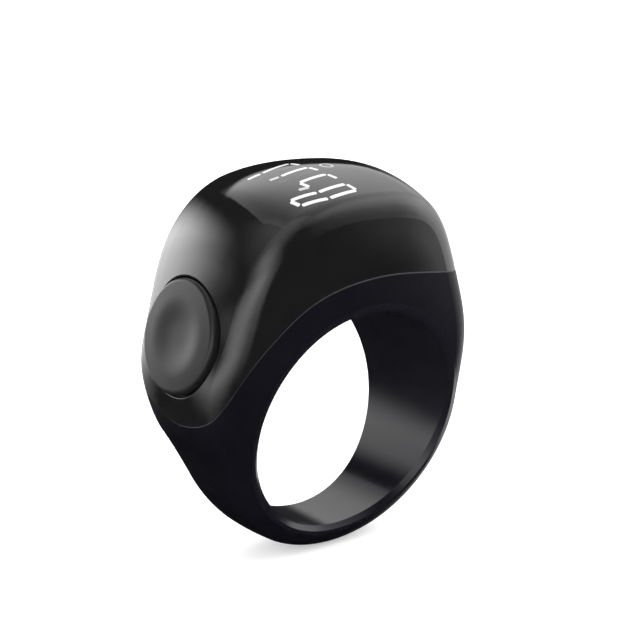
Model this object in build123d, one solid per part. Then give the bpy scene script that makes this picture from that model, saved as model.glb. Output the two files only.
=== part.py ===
from build123d import *
import math
import os

# A finger-worn digital tally counter. Millimetres. The finger bore runs along Y through the origin,
# the display head is up (+Z) and the count button faces -X.

# Finger bore and walls
bore_radius = 10.0
liner_wall = 0.8
floor_wall = 0.8
shell_wall = 1.2
rim_chamfer = 0.45
liner_radius = bore_radius + liner_wall
floor_radius = liner_radius + floor_wall
clearance = 0.03

# Front outline, seen along the bore: a round band below, and a head that leans over the button above
band_radius = 12.25
band_end_angle = 205.0
head_outline = [(12.2, 7.0), (10.65, 12.85), (7.15, 19.65), (0.8, 21.45), (-7.35, 20.3),
                (-11.6, 16.2), (-13.95, 9.35), (-14.95, 5.2), (-13.85, 0.05)]

# The outline shrinks away from the middle plane, which crowns the top and both flanks
outline_reach = 15.0
crown_centre_z = 4.5
crown_rate = 0.00137
crown_places = (-11.0, -5.5, 0.0, 5.5, 11.0)

# Front and back faces: a wedge that widens upwards, then a head that leans in and bows in plan
wedge_half_width = 5.9
wedge_slope = 0.2636
head_half_width = 8.5
head_reference_z = 11.0
head_lean = 0.0463
plan_bow = 0.010
knee_softness = 4.0
side_places = (-17.0, -8.5, 0.0, 8.5, 17.0)
edge_radius = 2.2
inner_edge_radius = 1.4

# Parting surface between head shell and lower ring: each point of its curve has an x, a z and a share of
# the dip that carries the head down below the button
parting_curve = [(-17.0, -1.3, 1.0), (-14.4, 3.1, 1.0), (-12.7, 6.05, 1.0), (-9.2, 9.75, 0.5),
                 (-6.4, 11.75, 0.0), (-2.5, 13.0, 0.0), (1.0, 13.25, 0.0), (7.3, 12.5, 0.0),
                 (20.0, 10.6, 0.0)]
parting_start_slope = 1.65
parting_end_slope = -0.15
parting_places = (-9.5, -7.2, -6.2, -5.0, -3.0, 0.0, 3.0, 5.0, 6.2, 7.2, 9.5)
button_dip = 2.2
dip_half_width = 7.0
head_top = 30.0
seal_thickness = 0.12
seal_recess = 0.03
cavity_left_x = -15.0
cavity_right_x = 9.4
cavity_bottom_z = 2.2

# Count button, square to an axis that leans up from -X
button_x = -13.85
button_z = 8.65
button_tilt = 15.5
press_travel = 0.3
cap_radius = 4.88
cap_gap = 0.10
cap_rise = 0.42
cap_crown = 0.12
rim_round = 0.40
hole_round = 0.12
dish_radius = 3.0
dish_depth = 0.18
groove_top = -0.55
groove_bottom = -0.95
groove_radius = 4.58
o_ring_section = 0.19
flange_top = -1.30
flange_bottom = -1.85
flange_radius = 5.75
flange_gap = 0.15
collar_face = -1.25
collar_radius = 6.4
stem_radius = 1.1
stem_end = -2.55

# Tactile switch, its flex and the vibration motor, stacked on the leaning plate of the inner frame
plunger_top = -2.60
plunger_bottom = -3.45
plunger_radius = 0.80
plunger_gap = 0.05
switch_top = -3.00
switch_bottom = -4.00
switch_size = 3.4
flex_thickness = 0.15
frame_plate = 0.60
plate_face = switch_bottom - flex_thickness
motor_radius = 2.8
motor_height = 1.6
motor_up = 4.6
motor_wall = 0.15
rotor_radius = 2.4
rotor_height = 0.8
shaft_radius = 0.40
shaft_gap = 0.05

# Stack under the display, from the bore upwards
battery_bottom = 12.1
battery_size = (9.0, 10.0, 2.8)
battery_x = -0.1
tape_thickness = 0.2
deck_thickness = 0.5
board_thickness = 0.5
deck_bottom = battery_bottom + battery_size[2] + tape_thickness
board_bottom = deck_bottom + deck_thickness
board_top = board_bottom + board_thickness
deck_right_x = 7.0
frame_half_depth = 5.6
board_left_x = -7.0
board_half_depth = 5.4
display_bottom = 17.05
display_left_x = -6.7
display_right_x = 0.7
display_half_depth = 5.2
glass_thickness = 0.45

# Fastening, charging contacts and dock magnets
screw_x = 5.9
screw_y = 3.6
screw_radius = 0.5
screw_head_radius = 1.0
screw_head_height = 0.6
screw_top = 17.9
boss_radius = 1.2
contact_angle = 58.0
contact_radius = 0.8
contact_y = 1.3
magnet_radius = 0.9
magnet_height = 0.9
magnet_y = 3.1
carrier_top = 12.9
carrier_width = 2.6
carrier_half_depth = 4.2
lead_radius = 0.2

os.makedirs("parts", exist_ok=True)

tilt = math.radians(button_tilt)
button_axis = (-math.cos(tilt), 0, math.sin(tilt))
button_plane = Plane((button_x, 0, button_z), x_dir=(0, 1, 0), z_dir=button_axis)


def main_solid(shape):
    """The largest solid of a boolean result."""
    return max(shape.solids(), key=lambda solid: solid.volume)


def block(x, y, z):
    """A box between pairs of limits."""
    size = [high - low for low, high in (x, y, z)]
    middle = [(low + high) / 2 for low, high in (x, y, z)]
    return Pos(*middle) * Box(*size)


def on_button(shape):
    """A shape drawn about the button axis, outward +Z, put in its place."""
    return button_plane.location * shape


def flank_point(depth, up):
    """The x and z of a point at a depth along the button axis and a height up the leaning plate."""
    return (button_x - depth * math.cos(tilt) + up * math.sin(tilt),
            button_z + depth * math.sin(tilt) + up * math.cos(tilt))


def bore_cylinder(radius):
    return Rot(90, 0, 0) * Cylinder(radius, 40)


def front_outline(inset):
    """Closed outline in the XZ plane, drawn in towards the crown centre."""
    angle = math.radians(band_end_angle)
    left = (band_radius * math.cos(angle), band_radius * math.sin(angle))
    right = (band_radius, 0.0)
    with BuildLine(Plane.XZ) as outline:
        Spline(right, *head_outline, left, tangents=[(0, 1), (-math.sin(angle), math.cos(angle))])
        ThreePointArc(left, (0, -band_radius), right)
    centred = outline.wires()[0].moved(Location((0, 0, -crown_centre_z)))
    return centred.scale(1 - inset / outline_reach)


def barrel(inset):
    """The front outline carried along Y, smaller away from the middle."""
    outline = front_outline(inset)
    return Solid.make_loft([outline.scale(1 - crown_rate * y * y).moved(Location((0, y, crown_centre_z)))
                            for y in crown_places])


def side_section(x, inset):
    """Cross-section of the wedge and the leaning head in the plane at x."""
    bottom, top = -15.0, 26.0
    half_width = head_half_width - plan_bow * x * x - inset
    low_width = wedge_half_width - inset
    knee = (half_width - low_width + head_lean * head_reference_z) / (wedge_slope + head_lean)

    def low(z):
        return (low_width + wedge_slope * z, z)

    def high(z):
        return (half_width - head_lean * (z - head_reference_z), z)

    right = [low(bottom), low(knee - knee_softness), high(knee + knee_softness), high(top)]
    left = [(-y, z) for y, z in reversed(right)]
    with BuildLine(Plane.YZ.offset(x)) as section:
        Spline(*right, tangents=[(wedge_slope, 1), (-head_lean, 1)])
        Line(right[-1], left[0])
        Spline(*left, tangents=[(-head_lean, -1), (wedge_slope, -1)])
        Line(left[-1], right[0])
    return section.wires()[0]


def envelope(inset, radius):
    """The whole closed body, drawn in by inset, with its front and back edges rounded."""
    sides = Solid.make_loft([side_section(x, inset) for x in side_places])
    body = main_solid(barrel(inset) & sides)
    edges = [edge for edge in body.edges() if abs(edge.center().Y) > edge_radius]
    return main_solid(fillet(edges, radius))


def parting_section(y):
    """The parting curve in the plane at y, closed above the head."""
    dip = button_dip * max(0, 1 - (y / dip_half_width) ** 2) ** 1.5
    curve = [(x, z - share * dip) for x, z, share in parting_curve]
    far_left, far_right = curve[0][0], curve[-1][0]
    with BuildLine(Plane.XZ.offset(-y)) as section:
        Spline(*curve, tangents=[(1, parting_start_slope), (1, parting_end_slope)])
        Polyline(curve[-1], (far_right, head_top), (far_left, head_top), curve[0])
    return section.wires()[0]


def head_region(drop):
    """Everything on the head's side of the parting surface, which is lowered by drop."""
    return Pos(0, 0, -drop) * Solid.make_loft([parting_section(y) for y in parting_places])


def contact_place(y):
    """A frame on the bore axis whose Z runs out through a charging contact."""
    return Pos(0, y, 0) * Rot(0, 90 - contact_angle, 0)


def contact_holes():
    hole = Cylinder(contact_radius + clearance, 8)
    return [contact_place(y) * Pos(0, 0, bore_radius + 1) * hole for y in (-contact_y, contact_y)]


def on_hole_rim(edge):
    """True for the edge where the button hole meets the outer surface."""
    points = [button_plane.to_local_coords(edge.position_at(t)) for t in (0.1, 0.5, 0.9)]
    return all(abs(math.hypot(p.X, p.Y) - cap_radius - cap_gap) < 0.01 and p.Z > -0.5 for p in points)


def pierced_head(outer):
    """The body above the bore axis, with the round-edged button hole in its flank."""
    upper = outer & block((-20, 20), (-15, 15), (0, head_top))
    pierced = main_solid(upper - on_button(Cylinder(cap_radius + cap_gap, 8)))
    return main_solid(fillet([edge for edge in pierced.edges() if on_hole_rim(edge)], hole_round))


def upper_shell(outer, inner):
    """Thin glossy head with a collar round the button hole and two screw bosses."""
    body = pierced_head(outer)
    collar = on_button(Pos(0, 0, collar_face + 3) * Cylinder(collar_radius, 6))
    shell = ((body - inner) + (collar & body)) & head_region(0)
    for y in (-screw_y, screw_y):
        boss = Pos(screw_x, y, board_top + 5) * Cylinder(boss_radius, 10)
        shell += boss & outer
        shell -= Pos(screw_x, y, screw_top - 2) * Cylinder(screw_radius, 4)
    return main_solid(shell - on_button(Pos(0, 0, collar_face - 2) * Cylinder(flange_radius + flange_gap, 4)))


def lower_ring(outer, inner):
    """Band, bore seat and the open tray below the head."""
    room = block((cavity_left_x, cavity_right_x), (-15, 15), (cavity_bottom_z, 30))
    tray = (inner - bore_cylinder(floor_radius)) & room
    ring = outer - head_region(seal_thickness) - bore_cylinder(liner_radius) - tray
    return main_solid(ring - contact_holes())


def inner_liner(outer):
    """Sleeve that lines the finger bore, chamfered at both rims."""
    sleeve = main_solid((outer & bore_cylinder(liner_radius)) - bore_cylinder(bore_radius))
    rims = [edge for edge in sleeve.edges()
            if max(abs(math.hypot(edge.position_at(t).X, edge.position_at(t).Z) - bore_radius)
                   for t in (0.0, 0.3, 0.7)) < 0.01 and abs(edge.center().Y) > 1]
    return main_solid(chamfer(rims, rim_chamfer) - contact_holes())


def housing_seal(inner):
    """Thin gasket in the parting line, set just below the outer surface."""
    strip = head_region(seal_thickness) - head_region(0)
    return main_solid((envelope(seal_recess, edge_radius) - inner) & strip)


def revolved(profile):
    """A solid turned about Z from a half profile in the XZ plane."""
    with BuildSketch(Plane.XZ) as half:
        with BuildLine():
            profile()
        make_face()
    return revolve(half.sketch, Axis.Z)


def button_cap():
    """Proud, round-edged cap with a finger dish, a seal groove, a retaining flange and a push stem."""
    face_radius = cap_radius - rim_round
    rim_bottom = cap_rise - rim_round
    rim_middle = rim_round * (1 - math.sqrt(0.5))
    dish_rim = cap_rise + cap_crown * (1 - (dish_radius / face_radius) ** 2)
    dish_bottom = dish_rim - dish_depth

    def half_profile():
        Spline((0, dish_bottom), (dish_radius / 2, dish_bottom + dish_depth / 4), (dish_radius, dish_rim),
               (face_radius, cap_rise), tangents=[(1, 0), (1, -2 * cap_crown / face_radius)])
        ThreePointArc((face_radius, cap_rise), (cap_radius - rim_middle, cap_rise - rim_middle),
                      (cap_radius, rim_bottom))
        Polyline((cap_radius, rim_bottom), (cap_radius, groove_top), (groove_radius, groove_top),
                 (groove_radius, groove_bottom), (cap_radius, groove_bottom),
                 (cap_radius, flange_top), (flange_radius, flange_top),
                 (flange_radius, flange_bottom), (stem_radius, flange_bottom),
                 (stem_radius, stem_end), (0, stem_end), (0, dish_bottom))

    return on_button(revolved(half_profile))


def button_o_ring():
    middle = (groove_top + groove_bottom) / 2
    return on_button(Pos(0, 0, middle) * Torus(groove_radius + o_ring_section, o_ring_section))


def switch_body():
    height = switch_top - switch_bottom
    body = Pos(0, 0, (switch_top + switch_bottom) / 2) * Box(switch_size, switch_size, height)
    body = fillet(body.edges().filter_by(Axis.Z), 0.3)
    well_bottom = plunger_bottom - press_travel - plunger_gap
    well = Pos(0, 0, well_bottom / 2) * Cylinder(plunger_radius + plunger_gap, -well_bottom)
    return on_button(body - well)


def switch_plunger():
    length = plunger_top - plunger_bottom
    pin = Pos(0, 0, (plunger_top + plunger_bottom) / 2) * Cylinder(plunger_radius, length)
    return on_button(chamfer(pin.edges().group_by(Axis.Z)[-1], 0.12))


def strip_along(points, radius, width, half_depth):
    """A thin ribbon of the given thickness along a bent path in the XZ plane."""
    with BuildSketch(Plane.XZ) as face:
        with BuildLine() as path:
            FilletPolyline(*points, radius=radius)
        trace(path.line, width)
    return extrude(face.sketch, half_depth, both=True)


def button_flex():
    """Ribbon that carries the switch and the motor and bends over onto the main board."""
    middle = plate_face + flex_thickness / 2
    level = board_top + flex_thickness / 2
    start = flank_point(middle, -2.2)
    corner = (start[0] + (level - start[1]) * math.tan(tilt), level)
    return strip_along([start, corner, (-5.3, level)], 0.5, flex_thickness, 3.0)


def inner_frame():
    """Leaning plate behind the button, a deck under the board and two legs, in one moulding."""
    deck_top = board_bottom
    front_foot = flank_point(plate_face, -2.6)
    back_foot = flank_point(plate_face - frame_plate, -2.6)

    def along(foot, z):
        return (foot[0] + (z - foot[1]) * math.tan(tilt), z)

    with BuildSketch(Plane.XZ) as face:
        with BuildLine():
            Polyline(front_foot, along(front_foot, deck_top), (deck_right_x, deck_top),
                     (deck_right_x, deck_bottom), along(back_foot, deck_bottom), back_foot, front_foot)
        make_face()
    frame = extrude(face.sketch, frame_half_depth, both=True)
    for side in (-1, 1):
        inner_y, outer_y = sorted((side * 4.8, side * frame_half_depth))
        frame += block((5.9, deck_right_x), (inner_y, outer_y), (8, deck_bottom))
        frame -= Pos(screw_x, side * screw_y, deck_bottom) * Cylinder(screw_radius + 0.1, 4)
    frame -= block((4.9, 5.6), (-1.6, 1.6), (deck_bottom - 1, deck_top + 1))
    frame -= block((6.2, deck_right_x + 1), (-1.8, 1.8), (deck_bottom - 1, deck_top + 1))
    return main_solid(frame - bore_cylinder(floor_radius + clearance))


def motor_place(shape):
    """A shape drawn on the motor base, axis +Z, put on the leaning plate."""
    return on_button(Pos(0, -motor_up, switch_bottom) * shape)


def motor_can():
    room = motor_height - 2 * motor_wall
    can = Pos(0, 0, motor_height / 2) * Cylinder(motor_radius, motor_height)
    can = fillet(can.edges().group_by(Axis.Z)[-1], 0.25)
    return motor_place(can - Pos(0, 0, motor_height / 2) * Cylinder(motor_radius - motor_wall, room))


def motor_shaft():
    room = motor_height - 2 * motor_wall
    return motor_place(Pos(0, 0, motor_height / 2) * Cylinder(shaft_radius, room))


def motor_rotor():
    """Half-moon weight on a bearing hub."""
    hub_radius = shaft_radius + 0.4
    weight = Cylinder(rotor_radius, rotor_height) & Pos(0, rotor_radius, 0) * Box(9, 2 * rotor_radius, 9)
    rotor = weight + Cylinder(hub_radius, rotor_height) - Cylinder(shaft_radius + shaft_gap, 9)
    return motor_place(Pos(0, 0, motor_height / 2) * rotor)


def battery_cell():
    length, depth, height = battery_size
    cell = Pos(battery_x, 0, battery_bottom + height / 2) * Box(length, depth, height)
    return fillet(cell.edges().filter_by(Axis.Y), 0.9)


def battery_pad():
    """Foam saddle between the bore wall and the flat cell."""
    half = battery_size[0] / 2 - 0.8
    pad = block((battery_x - half, battery_x + half), (-4.6, 4.6), (8, battery_bottom))
    return pad - bore_cylinder(floor_radius + clearance)


def battery_tape():
    return block((-4.0, 3.6), (-4.4, 4.4), (deck_bottom - tape_thickness, deck_bottom))


def protection_board():
    end = battery_x + battery_size[0] / 2
    return block((end, end + 0.5), (-2.2, 2.2), (battery_bottom + 0.4, deck_bottom - 0.5))


def upright_lead(x, y, low, high):
    return Pos(x, y, (low + high) / 2) * Cylinder(lead_radius, high - low)


def battery_leads():
    x = battery_x + battery_size[0] / 2 + 0.5 + lead_radius
    return [upright_lead(x, y, battery_bottom + 0.8, board_bottom) for y in (-1.0, 1.0)]


def main_board():
    depth = (-board_half_depth, board_half_depth)
    board = block((board_left_x, deck_right_x), depth, (board_bottom, board_top))
    board = fillet(board.edges().filter_by(Axis.Z), 0.8)
    for y in (-screw_y, screw_y):
        board -= Pos(screw_x, y, board_top) * Cylinder(screw_radius + 0.1, 4)
    return board


def chip(x, y, length, depth, height):
    """A square-cornered package on the main board, with its top edges eased."""
    body = Pos(x, y, board_top + height / 2) * Box(length, depth, height)
    return chamfer(body.edges().group_by(Axis.Z)[-1], 0.08)


def chip_passives():
    places = [(-5.6, 3.9), (-4.8, 3.9), (-4.0, 3.9), (-1.2, 1.0), (-1.2, 1.8), (-1.2, 2.6),
              (-0.4, -1.2), (-0.4, -0.4), (3.9, 2.4), (3.9, -2.4)]
    return [chip(x, y, 0.6, 0.4, 0.3) for x, y in places]


def display_frame():
    """Upstand that holds the panel above the board, notched for the flex."""
    x = (display_left_x, display_right_x)
    half_depth = board_half_depth - 0.1
    outside = block(x, (-half_depth, half_depth), (board_top, display_bottom))
    opening = block((x[0] + 0.6, x[1] - 0.6), (-4.7, 4.7), (board_top - 1, display_bottom + 1))
    notch = block((x[0] - 1, x[0] + 1), (-3.2, 3.2), (board_top - 1, board_top + 0.35))
    return outside - opening - notch


def display_plate(left, right, level):
    depth = (-display_half_depth, display_half_depth)
    plate = block((left, right), depth, (level, level + glass_thickness))
    return fillet(plate.edges().filter_by(Axis.Z), 0.3)


def display_flex():
    """Ribbon that leaves the panel ledge and folds under to the board."""
    high = display_bottom + glass_thickness + flex_thickness / 2
    low = board_top + flex_thickness / 2
    return strip_along([(0.25, high), (2.9, high), (2.9, low), (1.3, low)], 0.6, flex_thickness, 3.0)


def display_lens():
    """Clear filler between the cover glass and the dark top of the shell."""
    room = envelope(shell_wall + clearance, inner_edge_radius)
    low = display_bottom + 2 * glass_thickness
    return main_solid(room & block((display_left_x + 0.3, -0.5), (-5.0, 5.0), (low, 30)))


def contact_carrier():
    middle = (floor_radius + clearance + carrier_top) / 2
    height = carrier_top - floor_radius - clearance
    body = contact_place(0) * Pos(0, 0, middle) * Box(carrier_width, 2 * carrier_half_depth, height + 0.4)
    body &= contact_place(0) * Pos(0, 0, carrier_top - 2) * Box(9, 30, 4)
    body -= bore_cylinder(floor_radius + clearance)
    return main_solid(body - contact_holes() - dock_magnets())


def charge_contacts():
    low, high = bore_radius + 0.02, carrier_top
    pin = Pos(0, 0, (low + high) / 2) * Cylinder(contact_radius, high - low)
    return [contact_place(y) * pin for y in (-contact_y, contact_y)]


def dock_magnets():
    disc = Pos(0, 0, carrier_top - magnet_height / 2) * Cylinder(magnet_radius, magnet_height)
    return [contact_place(y) * disc for y in (-magnet_y, magnet_y)]


def charge_leads():
    lead = [upright_lead(6.6, y, 10.5, board_bottom) for y in (-contact_y, contact_y)]
    return [main_solid(wire - charge_contacts() - contact_carrier()) for wire in lead]


def frame_screws():
    head = Pos(0, 0, deck_bottom - screw_head_height / 2) * Cylinder(screw_head_radius, screw_head_height)
    length = screw_top - deck_bottom
    shank = Pos(0, 0, deck_bottom + length / 2) * Cylinder(screw_radius, length)
    return [Pos(screw_x, y, 0) * (head + shank) for y in (-screw_y, screw_y)]


def build():
    outer = envelope(0, edge_radius)
    inner = envelope(shell_wall, inner_edge_radius)
    glass_top = display_bottom + glass_thickness
    return {
        "upper_shell": upper_shell(outer, inner),
        "lower_ring": lower_ring(outer, inner),
        "inner_liner": inner_liner(outer),
        "housing_seal": housing_seal(inner),
        "button_cap": button_cap(),
        "button_o_ring": button_o_ring(),
        "switch_body": switch_body(),
        "switch_plunger": switch_plunger(),
        "button_flex": button_flex(),
        "inner_frame": inner_frame(),
        "motor_can": motor_can(),
        "motor_shaft": motor_shaft(),
        "motor_rotor": motor_rotor(),
        "battery_cell": battery_cell(),
        "battery_pad": battery_pad(),
        "battery_tape": battery_tape(),
        "battery_protection_board": protection_board(),
        "battery_leads": battery_leads(),
        "main_board": main_board(),
        "bluetooth_chip": chip(-3.3, -1.8, 3.6, 3.6, 0.75),
        "charger_chip": chip(-0.75, -3.4, 1.4, 1.6, 0.6),
        "clock_crystal": chip(-3.6, 2.2, 2.0, 1.6, 0.5),
        "chip_passives": chip_passives(),
        "chip_antenna": chip(4.2, 0.0, 1.2, 3.2, 0.9),
        "display_frame": display_frame(),
        "display_substrate": display_plate(display_left_x, display_right_x, display_bottom),
        "display_cover_glass": display_plate(display_left_x, -0.45, glass_top),
        "display_driver": block((-0.35, 0.15), (-4.0, 4.0), (glass_top, glass_top + 0.3)),
        "display_flex": display_flex(),
        "display_lens": display_lens(),
        "contact_carrier": contact_carrier(),
        "charge_contacts": charge_contacts(),
        "dock_magnets": dock_magnets(),
        "charge_leads": charge_leads(),
        "frame_screws": frame_screws(),
    }


for node, shape in build().items():
    if isinstance(shape, list):
        shape = Compound(children=[main_solid(piece) for piece in shape])
    export_step(shape, f"parts/{node}.step")
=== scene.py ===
import math

import bmesh
import bpy
from mathutils import Matrix, Vector


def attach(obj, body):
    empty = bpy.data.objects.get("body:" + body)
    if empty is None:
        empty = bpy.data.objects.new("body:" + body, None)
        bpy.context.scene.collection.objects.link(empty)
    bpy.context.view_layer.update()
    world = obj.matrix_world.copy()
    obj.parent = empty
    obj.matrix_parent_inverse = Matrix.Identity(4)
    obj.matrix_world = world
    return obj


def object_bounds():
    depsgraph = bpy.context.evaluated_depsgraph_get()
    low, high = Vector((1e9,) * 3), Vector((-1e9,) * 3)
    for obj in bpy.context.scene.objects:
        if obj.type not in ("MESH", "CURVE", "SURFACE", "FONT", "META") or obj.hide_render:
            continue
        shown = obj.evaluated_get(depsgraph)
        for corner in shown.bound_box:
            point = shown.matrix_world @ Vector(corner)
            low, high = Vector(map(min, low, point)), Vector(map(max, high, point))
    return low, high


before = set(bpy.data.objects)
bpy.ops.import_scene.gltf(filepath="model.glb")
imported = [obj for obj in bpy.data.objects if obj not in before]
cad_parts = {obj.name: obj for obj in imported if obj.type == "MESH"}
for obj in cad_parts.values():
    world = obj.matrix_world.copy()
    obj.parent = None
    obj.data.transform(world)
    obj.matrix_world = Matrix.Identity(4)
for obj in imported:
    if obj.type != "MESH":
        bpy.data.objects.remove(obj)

mm = 0.001
white = (1, 1, 1, 1)
scene = bpy.context.scene
scene.view_settings.view_transform = "Standard"
cadLow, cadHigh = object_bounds()
print("frame:", len(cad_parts), "nodes")


def deselectAll():
    if bpy.context.mode != "OBJECT":
        bpy.ops.object.mode_set(mode="OBJECT")
    bpy.ops.object.select_all(action="DESELECT")


def pickOnly(obj):
    deselectAll()
    obj.select_set(True)
    bpy.context.view_layer.objects.active = obj


def applyModifiers(obj):
    pickOnly(obj)
    for modifier in list(obj.modifiers):
        bpy.ops.object.modifier_apply(modifier=modifier.name)


def selectVerts(obj, test):
    bpy.ops.mesh.select_mode(type="VERT")
    bpy.ops.mesh.select_all(action="DESELECT")
    data = bmesh.from_edit_mesh(obj.data)
    for vert in data.verts:
        vert.select = test(vert.co)
    data.select_flush_mode()
    bmesh.update_edit_mesh(obj.data)


# shader helpers
def addNode(tree, kind, settings=None, sockets=None):
    node = tree.nodes.new("ShaderNode" + kind)
    for key, value in (settings or {}).items():
        setattr(node, key, value)
    for key, value in (sockets or {}).items():
        node.inputs[key].default_value = value
    return node


def newGroup(name, inputs, outputs):
    group = bpy.data.node_groups.new(name, "ShaderNodeTree")
    for label, kind in inputs:
        group.interface.new_socket(label, in_out="INPUT", socket_type="NodeSocket" + kind)
    for label, kind in outputs:
        group.interface.new_socket(label, in_out="OUTPUT", socket_type="NodeSocket" + kind)
    return group, group.nodes.new("NodeGroupInput"), group.nodes.new("NodeGroupOutput")


def placeGroup(tree, group, coords, values):
    node = tree.nodes.new("ShaderNodeGroup")
    node.node_tree = group
    tree.links.new(coords, node.inputs["Vector"])
    for key, value in values.items():
        node.inputs[key].default_value = value
    return node


# slow change between two tones
def makeToneDrift():
    group, start, end = newGroup(
        "toneDrift",
        [("Vector", "Vector"), ("Light Tone", "Color"), ("Dark Tone", "Color"), ("Scale", "Float")],
        [("Color", "Color")],
    )
    cloud = addNode(group, "TexNoise", sockets={"Detail": 3.0, "Roughness": 0.55})
    spread = addNode(group, "MapRange", sockets={"From Min": 0.3, "From Max": 0.7})
    blend = addNode(group, "Mix", {"data_type": "RGBA"})
    link = group.links.new
    link(start.outputs["Vector"], cloud.inputs["Vector"])
    link(start.outputs["Scale"], cloud.inputs["Scale"])
    link(cloud.outputs["Fac"], spread.inputs["Value"])
    link(spread.outputs["Result"], blend.inputs["Factor"])
    link(start.outputs["Dark Tone"], blend.inputs["A"])
    link(start.outputs["Light Tone"], blend.inputs["B"])
    link(blend.outputs["Result"], end.inputs["Color"])
    return group


# roughness smeared by fingers, between a low and a high value
def makeHandling():
    group, start, end = newGroup(
        "handling",
        [("Vector", "Vector"), ("Scale", "Float"), ("Low", "Float"), ("High", "Float")],
        [("Value", "Float")],
    )
    smear = addNode(group, "TexNoise", sockets={"Detail": 5.0, "Roughness": 0.6, "Distortion": 0.8})
    spread = addNode(group, "MapRange", sockets={"From Min": 0.35, "From Max": 0.68})
    link = group.links.new
    link(start.outputs["Vector"], smear.inputs["Vector"])
    link(start.outputs["Scale"], smear.inputs["Scale"])
    link(smear.outputs["Fac"], spread.inputs["Value"])
    link(start.outputs["Low"], spread.inputs["To Min"])
    link(start.outputs["High"], spread.inputs["To Max"])
    link(spread.outputs["Result"], end.inputs["Value"])
    return group


# height of a moulded or drawn surface: soft pits and finer noise
def makeMouldGrain():
    group, start, end = newGroup(
        "mouldGrain",
        [("Vector", "Vector"), ("Scale", "Float"), ("Stretch", "Vector")],
        [("Height", "Float")],
    )
    stretch = addNode(group, "VectorMath", {"operation": "MULTIPLY"})
    pits = addNode(group, "TexVoronoi", {"feature": "SMOOTH_F1"}, {"Smoothness": 0.6})
    fine = addNode(group, "TexNoise", sockets={"Detail": 4.0, "Roughness": 0.6})
    total = addNode(group, "Math", {"operation": "MULTIPLY_ADD"}, {1: 0.6})  # share of the pits
    link = group.links.new
    link(start.outputs["Vector"], stretch.inputs[0])
    link(start.outputs["Stretch"], stretch.inputs[1])
    for texture in (pits, fine):
        link(stretch.outputs["Vector"], texture.inputs["Vector"])
        link(start.outputs["Scale"], texture.inputs["Scale"])
    link(pits.outputs["Distance"], total.inputs[0])
    link(fine.outputs["Fac"], total.inputs[2])
    link(total.outputs["Value"], end.inputs["Height"])
    return group


# mask of small specks, in patches
def makeFineDust():
    group, start, end = newGroup(
        "fineDust",
        [("Vector", "Vector"), ("Scale", "Float"), ("Size", "Float")],
        [("Mask", "Float")],
    )
    specks = addNode(group, "TexVoronoi")
    nearSpeck = addNode(group, "MapRange", sockets={"To Min": 1.0, "To Max": 0.0})
    patches = addNode(group, "TexNoise", sockets={"Scale": 160.0, "Detail": 2.0})
    sparse = addNode(group, "MapRange", sockets={"From Min": 0.55, "From Max": 0.75})
    both = addNode(group, "Math", {"operation": "MULTIPLY"})
    link = group.links.new
    link(start.outputs["Vector"], specks.inputs["Vector"])
    link(start.outputs["Vector"], patches.inputs["Vector"])
    link(start.outputs["Scale"], specks.inputs["Scale"])
    link(start.outputs["Size"], nearSpeck.inputs["From Max"])
    link(specks.outputs["Distance"], nearSpeck.inputs["Value"])
    link(patches.outputs["Fac"], sparse.inputs["Value"])
    link(nearSpeck.outputs["Result"], both.inputs[0])
    link(sparse.outputs["Result"], both.inputs[1])
    link(both.outputs["Value"], end.inputs["Mask"])
    return group


toneDrift = makeToneDrift()
handling = makeHandling()
mouldGrain = makeMouldGrain()
fineDust = makeFineDust()
dustColour = (0.18, 0.18, 0.18, 1)
usualLook = dict(toneScale=90.0, smearScale=140.0, stretch=(1, 1, 1))  # where a look says nothing else
# values that are the same all over a piece, and the shader's own sockets for them
plainSockets = dict(
    metallic="Metallic", specular="Specular IOR Level", ior="IOR", clear="Transmission Weight",
    coat="Coat Weight", coatRough="Coat Roughness", sheen="Sheen Weight")


def makeFinish(name, ownLook):
    look = dict(usualLook, **ownLook)
    material = bpy.data.materials.new(name)
    material.use_nodes = True
    tree = material.node_tree
    shader = tree.nodes["Principled BSDF"]
    coords = addNode(tree, "TexCoord").outputs["Object"]
    link = tree.links.new

    tone = placeGroup(tree, toneDrift, coords, {
        "Light Tone": (*look["light"], 1), "Dark Tone": (*look["dark"], 1),
        "Scale": look["toneScale"]})
    colour = tone.outputs["Color"]
    low, high = look["rough"]
    worn = placeGroup(tree, handling, coords, {
        "Low": low, "High": high, "Scale": look["smearScale"]})
    link(worn.outputs["Value"], shader.inputs["Roughness"])

    if "dustSize" in look:
        dust = placeGroup(tree, fineDust, coords, {
            "Scale": look["dustScale"], "Size": look["dustSize"]})
        dusty = addNode(tree, "Mix", {"data_type": "RGBA"}, {"B": dustColour})
        link(dust.outputs["Mask"], dusty.inputs["Factor"])
        link(colour, dusty.inputs["A"])
        colour = dusty.outputs["Result"]
    link(colour, shader.inputs["Base Color"])

    if "grainDepth" in look:
        grain = placeGroup(tree, mouldGrain, coords, {
            "Scale": look["grainScale"], "Stretch": look["stretch"]})
        bump = addNode(tree, "Bump", sockets={"Distance": look["grainDepth"]})
        link(grain.outputs["Height"], bump.inputs["Height"])
        link(bump.outputs["Normal"], shader.inputs["Normal"])

    if "glow" in look:
        glow = placeGroup(tree, toneDrift, coords, {
            "Light Tone": (*look["glowLight"], 1), "Dark Tone": (*look["glowDark"], 1),
            "Scale": look["glowScale"]})
        link(glow.outputs["Color"], shader.inputs["Emission Color"])
        shader.inputs["Emission Strength"].default_value = look["glow"]

    for key, socket in plainSockets.items():
        if key in look:
            shader.inputs[socket].default_value = look[key]
    return material


def dress(nodeName, material):
    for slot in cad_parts[nodeName].material_slots:
        slot.material = material


# head moulding: piano-black gloss with faint handling marks
shellLook = dict(
    light=(0.0080, 0.0080, 0.0082), dark=(0.0065, 0.0065, 0.0067), toneScale=70.0,
    rough=(0.012, 0.030), smearScale=130.0, dustScale=1500.0, dustSize=0.035, specular=0.5)
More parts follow.
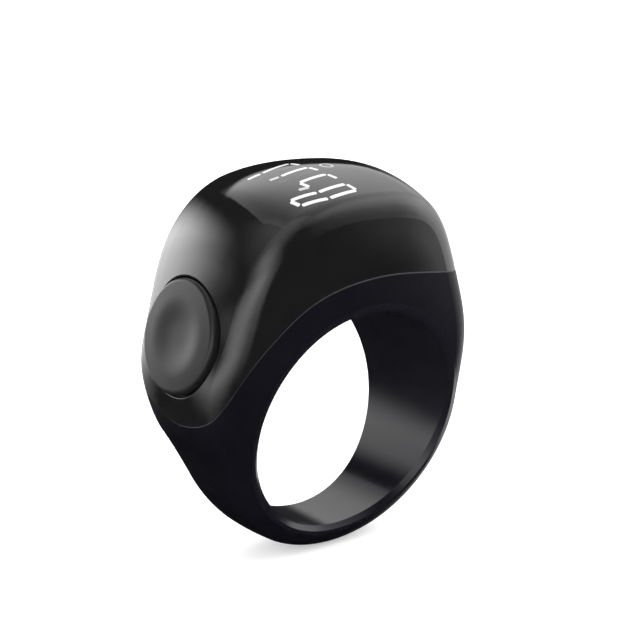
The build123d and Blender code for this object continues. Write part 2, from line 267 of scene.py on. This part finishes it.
# band below the parting line: blue-black satin, fine mould texture
ringLook = dict(
    light=(0.0046, 0.0047, 0.0076), dark=(0.0036, 0.0037, 0.0062), toneScale=110.0,
    rough=(0.30, 0.38), smearScale=180.0, grainScale=5200.0, grainDepth=1.2e-6,
    dustScale=1700.0, dustSize=0.03, specular=0.10)
# bore sleeve: semi-gloss, polished by the finger
linerLook = dict(
    light=(0.0078, 0.0078, 0.0112), dark=(0.0064, 0.0064, 0.0094), toneScale=120.0,
    rough=(0.13, 0.18), smearScale=150.0, grainScale=4200.0, grainDepth=6.0e-8,
    stretch=(1, 0.12, 1), specular=0.29)
# button: satin cap with a fine spark-eroded grain
buttonLook = dict(
    light=(0.0095, 0.0095, 0.0097), dark=(0.0075, 0.0075, 0.0077), toneScale=160.0,
    rough=(0.285, 0.340), smearScale=260.0, grainScale=6500.0, grainDepth=4.0e-7, specular=0.25)
# seal: a real gasket between head and band, its grey lightened into a painted highlight line along the
# parting gap
sealLookWithPaintedHighlight = dict(
    light=(0.055, 0.055, 0.057), dark=(0.042, 0.042, 0.044), toneScale=300.0,
    rough=(0.42, 0.55), grainScale=5000.0, grainDepth=8.0e-7, specular=0.4)

outerPieces = {
    "upper_shell": makeFinish("glossShell", shellLook),
    "lower_ring": makeFinish("satinBand", ringLook),
    "inner_liner": makeFinish("boreSleeve", linerLook),
    "button_cap": makeFinish("satinButton", buttonLook),
    # the seal's light grey is a painted highlight along the parting gap
    "housing_seal": makeFinish("partingSealPaintedHighlight", sealLookWithPaintedHighlight),
}

# pieces inside and the contacts in the bore, one look for each material
innerLooks = {
    "sealRubber": dict(
        light=(0.020, 0.020, 0.021), dark=(0.012, 0.012, 0.013), rough=(0.55, 0.68),
        grainScale=4000.0, grainDepth=2.0e-6, specular=0.35, sheen=0.1),
    "frameNylon": dict(
        light=(0.060, 0.061, 0.064), dark=(0.045, 0.046, 0.049), rough=(0.45, 0.58),
        grainScale=3800.0, grainDepth=2.5e-6),
    "turnedSteel": dict(
        light=(0.62, 0.62, 0.63), dark=(0.52, 0.52, 0.54), rough=(0.22, 0.34), metallic=1.0,
        grainScale=2600.0, stretch=(1, 0.08, 1), grainDepth=1.2e-6),
    "sinteredTungsten": dict(
        light=(0.34, 0.34, 0.35), dark=(0.24, 0.24, 0.26), rough=(0.38, 0.52), metallic=1.0,
        grainScale=5200.0, grainDepth=3.0e-6),
    "amberFilm": dict(
        light=(0.46, 0.22, 0.045), dark=(0.36, 0.15, 0.028), rough=(0.24, 0.34),
        grainScale=900.0, grainDepth=1.5e-6, coat=0.3, coatRough=0.15),
    "greenMask": dict(
        light=(0.016, 0.110, 0.046), dark=(0.010, 0.075, 0.032), toneScale=420.0,
        rough=(0.26, 0.38), grainScale=2400.0, grainDepth=2.0e-6, coat=0.25, coatRough=0.2),
    "chipEpoxy": dict(
        light=(0.026, 0.026, 0.027), dark=(0.018, 0.018, 0.019), rough=(0.50, 0.62),
        grainScale=7000.0, grainDepth=2.0e-6),
    "firedCeramic": dict(
        light=(0.52, 0.44, 0.33), dark=(0.44, 0.36, 0.26), rough=(0.40, 0.55),
        grainScale=6000.0, grainDepth=1.5e-6),
    "cellFoil": dict(
        light=(0.66, 0.67, 0.69), dark=(0.54, 0.55, 0.58), rough=(0.30, 0.46), metallic=0.85,
        toneScale=260.0, grainScale=700.0, grainDepth=1.6e-5),
    "openFoam": dict(
        light=(0.060, 0.060, 0.062), dark=(0.030, 0.030, 0.032), toneScale=900.0,
        rough=(0.85, 0.95), grainScale=2600.0, grainDepth=4.0e-5, specular=0.2, sheen=0.2),
    "cellTape": dict(
        light=(0.78, 0.60, 0.13), dark=(0.66, 0.48, 0.09), rough=(0.30, 0.42),
        grainScale=1100.0, grainDepth=2.0e-6),
    "leadSleeve": dict(
        light=(0.42, 0.035, 0.028), dark=(0.32, 0.024, 0.020), rough=(0.36, 0.48),
        grainScale=2500.0, grainDepth=1.5e-6),
    "panelGlass": dict(
        light=(0.022, 0.024, 0.030), dark=(0.014, 0.016, 0.022), rough=(0.03, 0.06),
        grainScale=600.0, grainDepth=1.0e-7, coat=0.5, coatRough=0.03),
    "clearFiller": dict(
        light=(0.88, 0.89, 0.90), dark=(0.82, 0.83, 0.85), rough=(0.05, 0.09),
        grainScale=500.0, grainDepth=2.0e-7, clear=0.9, ior=1.46),
    "goldPlate": dict(
        light=(1.0, 0.76, 0.33), dark=(0.90, 0.64, 0.25), rough=(0.16, 0.27), metallic=1.0,
        grainScale=3200.0, grainDepth=6.0e-7),
    "platedMagnet": dict(
        light=(0.58, 0.57, 0.55), dark=(0.48, 0.47, 0.46), rough=(0.18, 0.30), metallic=1.0,
        grainScale=2800.0, grainDepth=8.0e-7),
    "switchCase": dict(
        light=(0.70, 0.70, 0.68), dark=(0.58, 0.58, 0.57), rough=(0.40, 0.52),
        grainScale=4200.0, grainDepth=1.5e-6),
}
innerNodes = {
    "sealRubber": ["button_o_ring"],
    "frameNylon": ["inner_frame", "display_frame", "contact_carrier"],
    "turnedSteel": ["motor_can", "motor_shaft", "clock_crystal", "frame_screws"],
    "sinteredTungsten": ["motor_rotor"],
    "amberFilm": ["button_flex", "display_flex"],
    "greenMask": ["main_board", "battery_protection_board"],
    "chipEpoxy": ["bluetooth_chip", "charger_chip", "display_driver"],
    "firedCeramic": ["chip_passives", "chip_antenna"],
    "cellFoil": ["battery_cell"],
    "openFoam": ["battery_pad"],
    "cellTape": ["battery_tape"],
    "leadSleeve": ["battery_leads", "charge_leads"],
    "panelGlass": ["display_substrate", "display_cover_glass"],
    "clearFiller": ["display_lens"],
    "goldPlate": ["charge_contacts"],
    "platedMagnet": ["dock_magnets"],
    "switchCase": ["switch_body", "switch_plunger"],
}
for nodeName, material in outerPieces.items():
    dress(nodeName, material)
for lookName, nodeNames in innerNodes.items():
    material = makeFinish(lookName, innerLooks[lookName])
    for nodeName in nodeNames:
        dress(nodeName, material)
print("finishes:", len(outerPieces) + len(innerLooks))

# lit digits that shine through the head, in mm on the crown, seen from above
digits = dict(
    centre=(-3.50, -5.72),        # middle of the first digit, the one nearest the front
    pitch=(-0.425, 2.024),        # step to the next digit
    halfHeight=2.735,             # middle of the digit to its end bars, along +X
    lean=-0.062,                  # sideways drift along the height
    halfWidth=(0.171, -0.536),    # middle of the digit to its near bars
    bow=(-0.28, -0.40),           # shift of the middle, so that bars look straight over the crown
    stroke=0.34, barGap=0.24,     # width of a bar, and the gap between bars
    barSteps=8, barCuts=2,        # steps along a bar, and the cuts that let it follow the crown
    endShare=0.499,               # points past this share of the length are a bar's corners
    pointCut=0.13, pointSteps=2,  # corners cut off a bar's ends
    proud=0.006, depth=0.05,      # height above the crown, and thickness
    startZ=23.0,                  # bars start above the crown and drop onto it
    smoothAngle=40.0,
)
# lit bars of each digit and how much of a bar shows
litBars = [
    dict(bright={"top": 1, "nearUpper": 1, "nearLower": 1,
                 "bottom": 1, "farLower": 1, "farUpper": 1}),
    dict(bright={"top": 1, "farUpper": 1, "middle": 1}, fading={"nearLower": 0.45}),
    dict(bright={"top": 1, "farUpper": 1}, fading={"farLower": 0.42},
         faint={"nearUpper": 0.8, "nearLower": 0.5}),
    dict(bright={"top": 1, "farUpper": 1, "farLower": 0.55}, faint={"nearUpper": 0.8}),
]
# a bar's ends in half heights and half widths: the first end stays where a bar is cut short
barEnds = {
    "top": ((1, 1), (1, -1)),
    "bottom": ((-1, 1), (-1, -1)),
    "middle": ((0, 1), (0, -1)),
    "nearUpper": ((1, 1), (0, 1)),
    "nearLower": ((0, 1), (-1, 1)),
    "farUpper": ((1, -1), (0, -1)),
    "farLower": ((0, -1), (-1, -1)),
}
# glow under the head's own gloss
glowBase = dict(
    light=shellLook["light"], dark=shellLook["dark"], rough=shellLook["rough"],
    glowLight=(1.0, 1.0, 1.0), glowDark=(0.90, 0.93, 0.96), glowScale=900.0)
glowLevels = dict(bright=1.0, fading=0.60, faint=0.022)
glows = {state: makeFinish("bar" + state.title(), dict(glowBase, glow=level))
         for state, level in glowLevels.items()}


def modelBar(length, cfg):
    deselectAll()
    bpy.ops.mesh.primitive_grid_add(x_subdivisions=cfg["barSteps"], y_subdivisions=1, size=1)
    bar = bpy.context.object
    bpy.ops.object.mode_set(mode="EDIT")
    bpy.ops.transform.resize(value=(length * mm, cfg["stroke"] * mm, 1))
    tip = cfg["endShare"] * length * mm
    selectVerts(bar, lambda co: abs(co.x) > tip)
    bpy.ops.mesh.bevel(offset=cfg["pointCut"] * mm, affect="VERTICES", segments=cfg["pointSteps"])
    bpy.ops.mesh.select_all(action="SELECT")
    bpy.ops.mesh.subdivide(number_cuts=cfg["barCuts"])
    bpy.ops.object.mode_set(mode="OBJECT")
    return bar


def dropOnCrown(piece, cfg):
    drop = piece.modifiers.new("drop", "SHRINKWRAP")
    drop.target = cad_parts["upper_shell"]
    drop.wrap_method = "PROJECT"
    drop.use_project_z = True
    drop.use_negative_direction = True
    drop.use_positive_direction = False
    drop.offset = cfg["proud"] * mm
    wall = piece.modifiers.new("wall", "SOLIDIFY")
    wall.thickness = cfg["depth"] * mm
    wall.offset = -1
    applyModifiers(piece)


def layBar(start, end, cfg):
    run = end - start
    middle = (start + end) / 2
    bar = modelBar(run.length - cfg["barGap"], cfg)
    bar.location = (middle.x * mm, middle.y * mm, cfg["startZ"] * mm)
    bar.rotation_euler = (0, 0, math.atan2(run.y, run.x))
    bpy.ops.object.transform_apply(location=True, rotation=True, scale=True)
    dropOnCrown(bar, cfg)
    return bar


def makeDigit(index, cfg):
    up = Vector((cfg["halfHeight"], cfg["halfHeight"] * cfg["lean"]))
    near, bow = Vector(cfg["halfWidth"]), Vector(cfg["bow"])
    centre = Vector(cfg["centre"]) + index * Vector(cfg["pitch"])
    laid = []
    for state, bars in litBars[index].items():
        for barName, share in bars.items():
            first, last = (centre + a * up + b * near + (1 - a * a) * bow
                           for a, b in barEnds[barName])
            bar = layBar(first, first.lerp(last, share), cfg)
            bar.data.materials.append(glows[state])
            laid.append(bar)
    deselectAll()
    for bar in laid:
        bar.select_set(True)
    bpy.context.view_layer.objects.active = laid[0]
    bpy.ops.object.join()
    digit = bpy.context.object
    digit.name = "lit_digit_%d" % (index + 1)
    bpy.ops.object.shade_smooth_by_angle(angle=math.radians(cfg["smoothAngle"]))
    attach(digit, "housing")


for index in range(len(litBars)):
    makeDigit(index, digits)

# small ring icon beyond the digits' tops, in mm on the crown
ringIcon = dict(
    centre=(0.05, -1.40), radius=0.62, stroke=0.20, sides=48, glow=0.42,
    proud=0.0025, depth=0.05, startZ=23.0)


def makeRingIcon(cfg):
    deselectAll()
    bpy.ops.mesh.primitive_circle_add(
        vertices=cfg["sides"], radius=cfg["radius"] * mm, fill_type="NGON")
    icon = bpy.context.object
    icon.name = "lit_ring_icon"
    bpy.ops.object.mode_set(mode="EDIT")
    bpy.ops.mesh.select_all(action="SELECT")
    bpy.ops.mesh.inset(thickness=cfg["stroke"] * mm)
    bpy.ops.mesh.delete(type="FACE")  # the inset leaves the middle selected
    bpy.ops.object.mode_set(mode="OBJECT")
    icon.location = (cfg["centre"][0] * mm, cfg["centre"][1] * mm, cfg["startZ"] * mm)
    bpy.ops.object.transform_apply(location=True, rotation=True, scale=True)
    dropOnCrown(icon, cfg)
    icon.data.materials.append(makeFinish("ringGlow", dict(glowBase, glow=cfg["glow"])))
    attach(icon, "housing")


makeRingIcon(ringIcon)
print("display:", len(litBars), "digits and the ring icon")

# studio in metres: all softboxes stand at one distance from the target
studio = dict(
    target=(-0.002, 0.0, 0.012), distance=0.8, tableSize=7.0,
    tentRadius=4.0, tentSegments=48, tentRings=24, tentLevel=0.014)
# turn is degrees round the part, 0 at -Y and 90 at +X, and rise is degrees above the table;
# half sizes and edge fades (left, right, low, high) are shares of the distance;
# tilt is the level's gain at the right and top edges, as a share of it;
# fadeEnd is the left fade at the card's top and the low fade at its right
softboxes = {
    "leftBack": dict(
        turn=-159.6, rise=6.4, roll=36.2, half=(1.065, 0.498), level=4.94, tilt=(-0.90, -0.09),
        fade=(1.77, 1.01, 0.61, 0.35), fadeEnd=(1.05, 0.35)),
    "frontLeft": dict(
        turn=-75.7, rise=-14.4, roll=12.0, half=(1.852, 0.738), level=3.32, tilt=(-0.88, 0.88),
        fade=(0.37, 1.54, 2.45, 0.56), fadeEnd=(2.03, 0.88)),
    "overhead": dict(
        turn=95.5, rise=49.7, roll=-146.6, half=(1.870, 0.968), level=0.66, tilt=(-0.78, 0.90),
        fade=(0.06, 0.50, 0.03, 0.93), fadeEnd=(0.12, 0.03)),
    "topFront": dict(
        turn=-68.1, rise=50.5, roll=100.4, half=(0.854, 0.973), level=3.56, tilt=(0.13, 0.51),
        fade=(0.35, 0.35, 1.47, 2.20), fadeEnd=(0.35, 1.41)),
    "right": dict(
        turn=57.0, rise=24.6, roll=-23.9, half=(1.411, 1.001), level=1.15, tilt=(0.90, 0.52),
        fade=(1.98, 1.72, 0.35, 0.60), fadeEnd=(0.35, 0.35)),
    "rightLow": dict(
        turn=90.2, rise=-3.2, roll=60.5, half=(0.775, 1.028), level=1.41, tilt=(-0.10, -0.02),
        fade=(0.35, 0.54, 0.46, 0.49), fadeEnd=(0.35, 0.35)),
    "frontBridge": dict(
        turn=-41.8, rise=15.7, roll=44.8, half=(0.504, 1.295), level=2.92, tilt=(0.57, 0.88),
        fade=(0.95, 0.55, 1.53, 2.06), fadeEnd=(0.45, 0.35)),
    "overheadSoft": dict(
        turn=96.4, rise=59.8, roll=-109.9, half=(1.039, 1.567), level=0.87, tilt=(-0.85, 0.90),
        fade=(1.47, 0.40, 0.10, 0.23), fadeEnd=(0.54, 0.11)),
}


# a card's level over its UV square: a fade at each edge, and a tilt across and up
def makeSoftEdge():
    group, start, end = newGroup(
        "softEdge",
        [("Vector", "Vector"), ("Left", "Float"), ("Right", "Float"), ("Low", "Float"),
         ("High", "Float"), ("Left Change", "Float"), ("Low Change", "Float"),
         ("Tilt Across", "Float"), ("Tilt Up", "Float"), ("Level", "Float")],
        [("Value", "Float")],
    )
    link = group.links.new
    split = addNode(group, "SeparateXYZ")
    link(start.outputs["Vector"], split.inputs["Vector"])
    result = start.outputs["Level"]

    def times(a, b):
        product = addNode(group, "Math", {"operation": "MULTIPLY"})
        link(a, product.inputs[0])
        link(b, product.inputs[1])
        return product.outputs["Value"]

    for axis, along, lowSide, highSide in (("X", "Y", "Left", "Right"), ("Y", "X", "Low", "High")):
        other = addNode(group, "Math", {"operation": "SUBTRACT"}, {0: 1.0})  # from the far edge
        link(split.outputs[axis], other.inputs[1])
        fade = addNode(group, "Math", {"operation": "MULTIPLY_ADD"})
        link(split.outputs[along], fade.inputs[0])
        link(start.outputs[lowSide + " Change"], fade.inputs[1])
        link(start.outputs[lowSide], fade.inputs[2])
        for place, width in ((split.outputs[axis], fade.outputs["Value"]),
                             (other.outputs["Value"], start.outputs[highSide])):
            edge = addNode(group, "MapRange", {"interpolation_type": "SMOOTHSTEP"})
            link(place, edge.inputs["Value"])
            link(width, edge.inputs["From Max"])
            result = times(result, edge.outputs["Result"])
    slope = None
    for axis, label in (("X", "Tilt Across"), ("Y", "Tilt Up")):
        # -1 at one edge, 1 at the other
        centred = addNode(group, "Math", {"operation": "MULTIPLY_ADD"}, {1: 2.0, 2: -1.0})
        link(split.outputs[axis], centred.inputs[0])
        part = times(centred.outputs["Value"], start.outputs[label])
        total = addNode(group, "Math", {"operation": "ADD"}, {1: 1.0})
        link(part, total.inputs[0])
        if slope is not None:
            link(slope, total.inputs[1])
        slope = total.outputs["Value"]
    floorAtZero = addNode(group, "Math", {"operation": "MAXIMUM"}, {1: 0.0})
    link(slope, floorAtZero.inputs[0])
    link(times(result, floorAtZero.outputs["Value"]), end.inputs["Value"])
    return group


softEdge = makeSoftEdge()


def keepOutOfSight(obj):
    obj.visible_camera = False
    obj.visible_transmission = False
    obj.visible_shadow = False
    obj.visible_volume_scatter = False


def makeCardGlow(name, cfg):
    material = bpy.data.materials.new(name + "Glow")
    material.use_nodes = True
    tree = material.node_tree
    tree.nodes.clear()
    coords = addNode(tree, "TexCoord").outputs["UV"]
    left, right, low, high = cfg["fade"]
    leftEnd, lowEnd = cfg["fadeEnd"]
    wide, tall = (2 * part for part in cfg["half"])
    edge = placeGroup(tree, softEdge, coords, {
        "Left": left / wide, "Right": right / wide, "Low": low / tall, "High": high / tall,
        "Left Change": (leftEnd - left) / wide, "Low Change": (lowEnd - low) / tall,
        "Tilt Across": cfg["tilt"][0], "Tilt Up": cfg["tilt"][1], "Level": cfg["level"]})
    glow = addNode(tree, "Emission")
    through = addNode(tree, "BsdfTransparent")
    both = addNode(tree, "AddShader")
    out = addNode(tree, "OutputMaterial")
    link = tree.links.new
    link(edge.outputs["Value"], glow.inputs["Strength"])
    link(glow.outputs["Emission"], both.inputs[0])
    link(through.outputs["BSDF"], both.inputs[1])
    link(both.outputs["Shader"], out.inputs["Surface"])
    return material


def addSoftbox(name, cfg):
    turn, rise, roll = (math.radians(cfg[key]) for key in ("turn", "rise", "roll"))
    towards = Vector((
        math.sin(turn) * math.cos(rise), -math.cos(turn) * math.cos(rise), math.sin(rise)))
    across = Vector((math.cos(turn), math.sin(turn), 0))
    upright = towards.cross(across)
    if upright.z < 0:
        upright.negate()
    side = across * math.cos(roll) + upright * math.sin(roll)
    height = upright * math.cos(roll) - across * math.sin(roll)
    reach = studio["distance"]
    halfX, halfY = (part * reach for part in cfg["half"])
    deselectAll()
    bpy.ops.mesh.primitive_plane_add(size=2)
    box = bpy.context.object
    box.name = name + "Softbox"
    turned = Matrix((side, height, side.cross(height))).transposed().to_4x4()
    box.matrix_world = (Matrix.Translation(Vector(studio["target"]) + towards * reach) @ turned
                        @ Matrix.Diagonal((halfX, halfY, 1, 1)))
    box.data.materials.append(makeCardGlow(name, cfg))
    keepOutOfSight(box)


for name, cfg in softboxes.items():
    addSoftbox(name, cfg)


# dark cloth round it all, seen only in gloss
def addTent(cfg):
    deselectAll()
    bpy.ops.mesh.primitive_uv_sphere_add(
        segments=cfg["tentSegments"], ring_count=cfg["tentRings"],
        radius=cfg["tentRadius"], location=cfg["target"])
    tent = bpy.context.object
    tent.name = "darkTent"
    material = bpy.data.materials.new("blackCloth")
    material.use_nodes = True
    tree = material.node_tree
    tree.nodes.clear()
    glow = addNode(tree, "Emission", sockets={"Strength": cfg["tentLevel"]})
    out = addNode(tree, "OutputMaterial")
    tree.links.new(glow.outputs["Emission"], out.inputs["Surface"])
    tent.data.materials.append(material)
    keepOutOfSight(tent)
    tent.visible_diffuse = False


addTent(studio)

# pale table: lit white that keeps the shadow
table = dict(colour=(0.86, 0.86, 0.86), rough=0.9, specular=0.0, shine=0.40)


def seenDirectly(tree):
    # 1 for camera, mirror and glass rays
    path = addNode(tree, "LightPath")
    result = path.outputs["Is Camera Ray"]
    for label in ("Is Glossy Ray", "Is Transmission Ray"):
        both = addNode(tree, "Math", {"operation": "MAXIMUM"})
        tree.links.new(result, both.inputs[0])
        tree.links.new(path.outputs[label], both.inputs[1])
        result = both.outputs["Value"]
    return result


def addTable(cfg):
    deselectAll()
    bpy.ops.mesh.primitive_plane_add(size=studio["tableSize"], location=(0, 0, cadLow.z))
    top = bpy.context.object
    top.name = "table"
    material = bpy.data.materials.new("paleTable")
    material.use_nodes = True
    tree = material.node_tree
    shader = tree.nodes["Principled BSDF"]
    shader.inputs["Base Color"].default_value = (*cfg["colour"], 1)
    shader.inputs["Roughness"].default_value = cfg["rough"]
    shader.inputs["Specular IOR Level"].default_value = cfg["specular"]
    shader.inputs["Emission Color"].default_value = white
    lift = addNode(tree, "Math", {"operation": "MULTIPLY"}, {1: cfg["shine"]})
    tree.links.new(seenDirectly(tree), lift.inputs[0])
    tree.links.new(lift.outputs["Value"], shader.inputs["Emission Strength"])
    top.data.materials.append(material)
    top.visible_glossy = False  # the black gloss mirrors the dark studio, not the table


addTable(table)

# room: white where it is seen, soft fill elsewhere
room = dict(fill=0.45, seen=1.0)


def makeRoom(cfg):
    world = bpy.data.worlds.new("room")
    scene.world = world
    world.use_nodes = True
    tree = world.node_tree
    back = tree.nodes["Background"]
    back.inputs["Color"].default_value = white
    level = addNode(tree, "MapRange", sockets={"To Min": cfg["fill"], "To Max": cfg["seen"]})
    tree.links.new(seenDirectly(tree), level.inputs["Value"])
    tree.links.new(level.outputs["Result"], back.inputs["Strength"])


makeRoom(room)
print("studio:", len(softboxes), "softboxes, dark tent, table and room")

# camera at the photo's place: metres, degrees, lens and sensor in mm
view = dict(
    place=(-0.109482, -0.146358, 0.060568), turn=(73.853, 0.0, -36.909),
    lens=124.74, sensor=36, clipStart=0.01)


def addCamera(cfg):
    camera = bpy.data.cameras.new("photoCamera")
    holder = bpy.data.objects.new("photoCamera", camera)
    scene.collection.objects.link(holder)
    holder.location = cfg["place"]
    holder.rotation_euler = [math.radians(angle) for angle in cfg["turn"]]
    camera.lens = cfg["lens"]
    camera.sensor_width = cfg["sensor"]
    camera.clip_start = cfg["clipStart"]
    scene.camera = holder


addCamera(view)
print("camera placed")
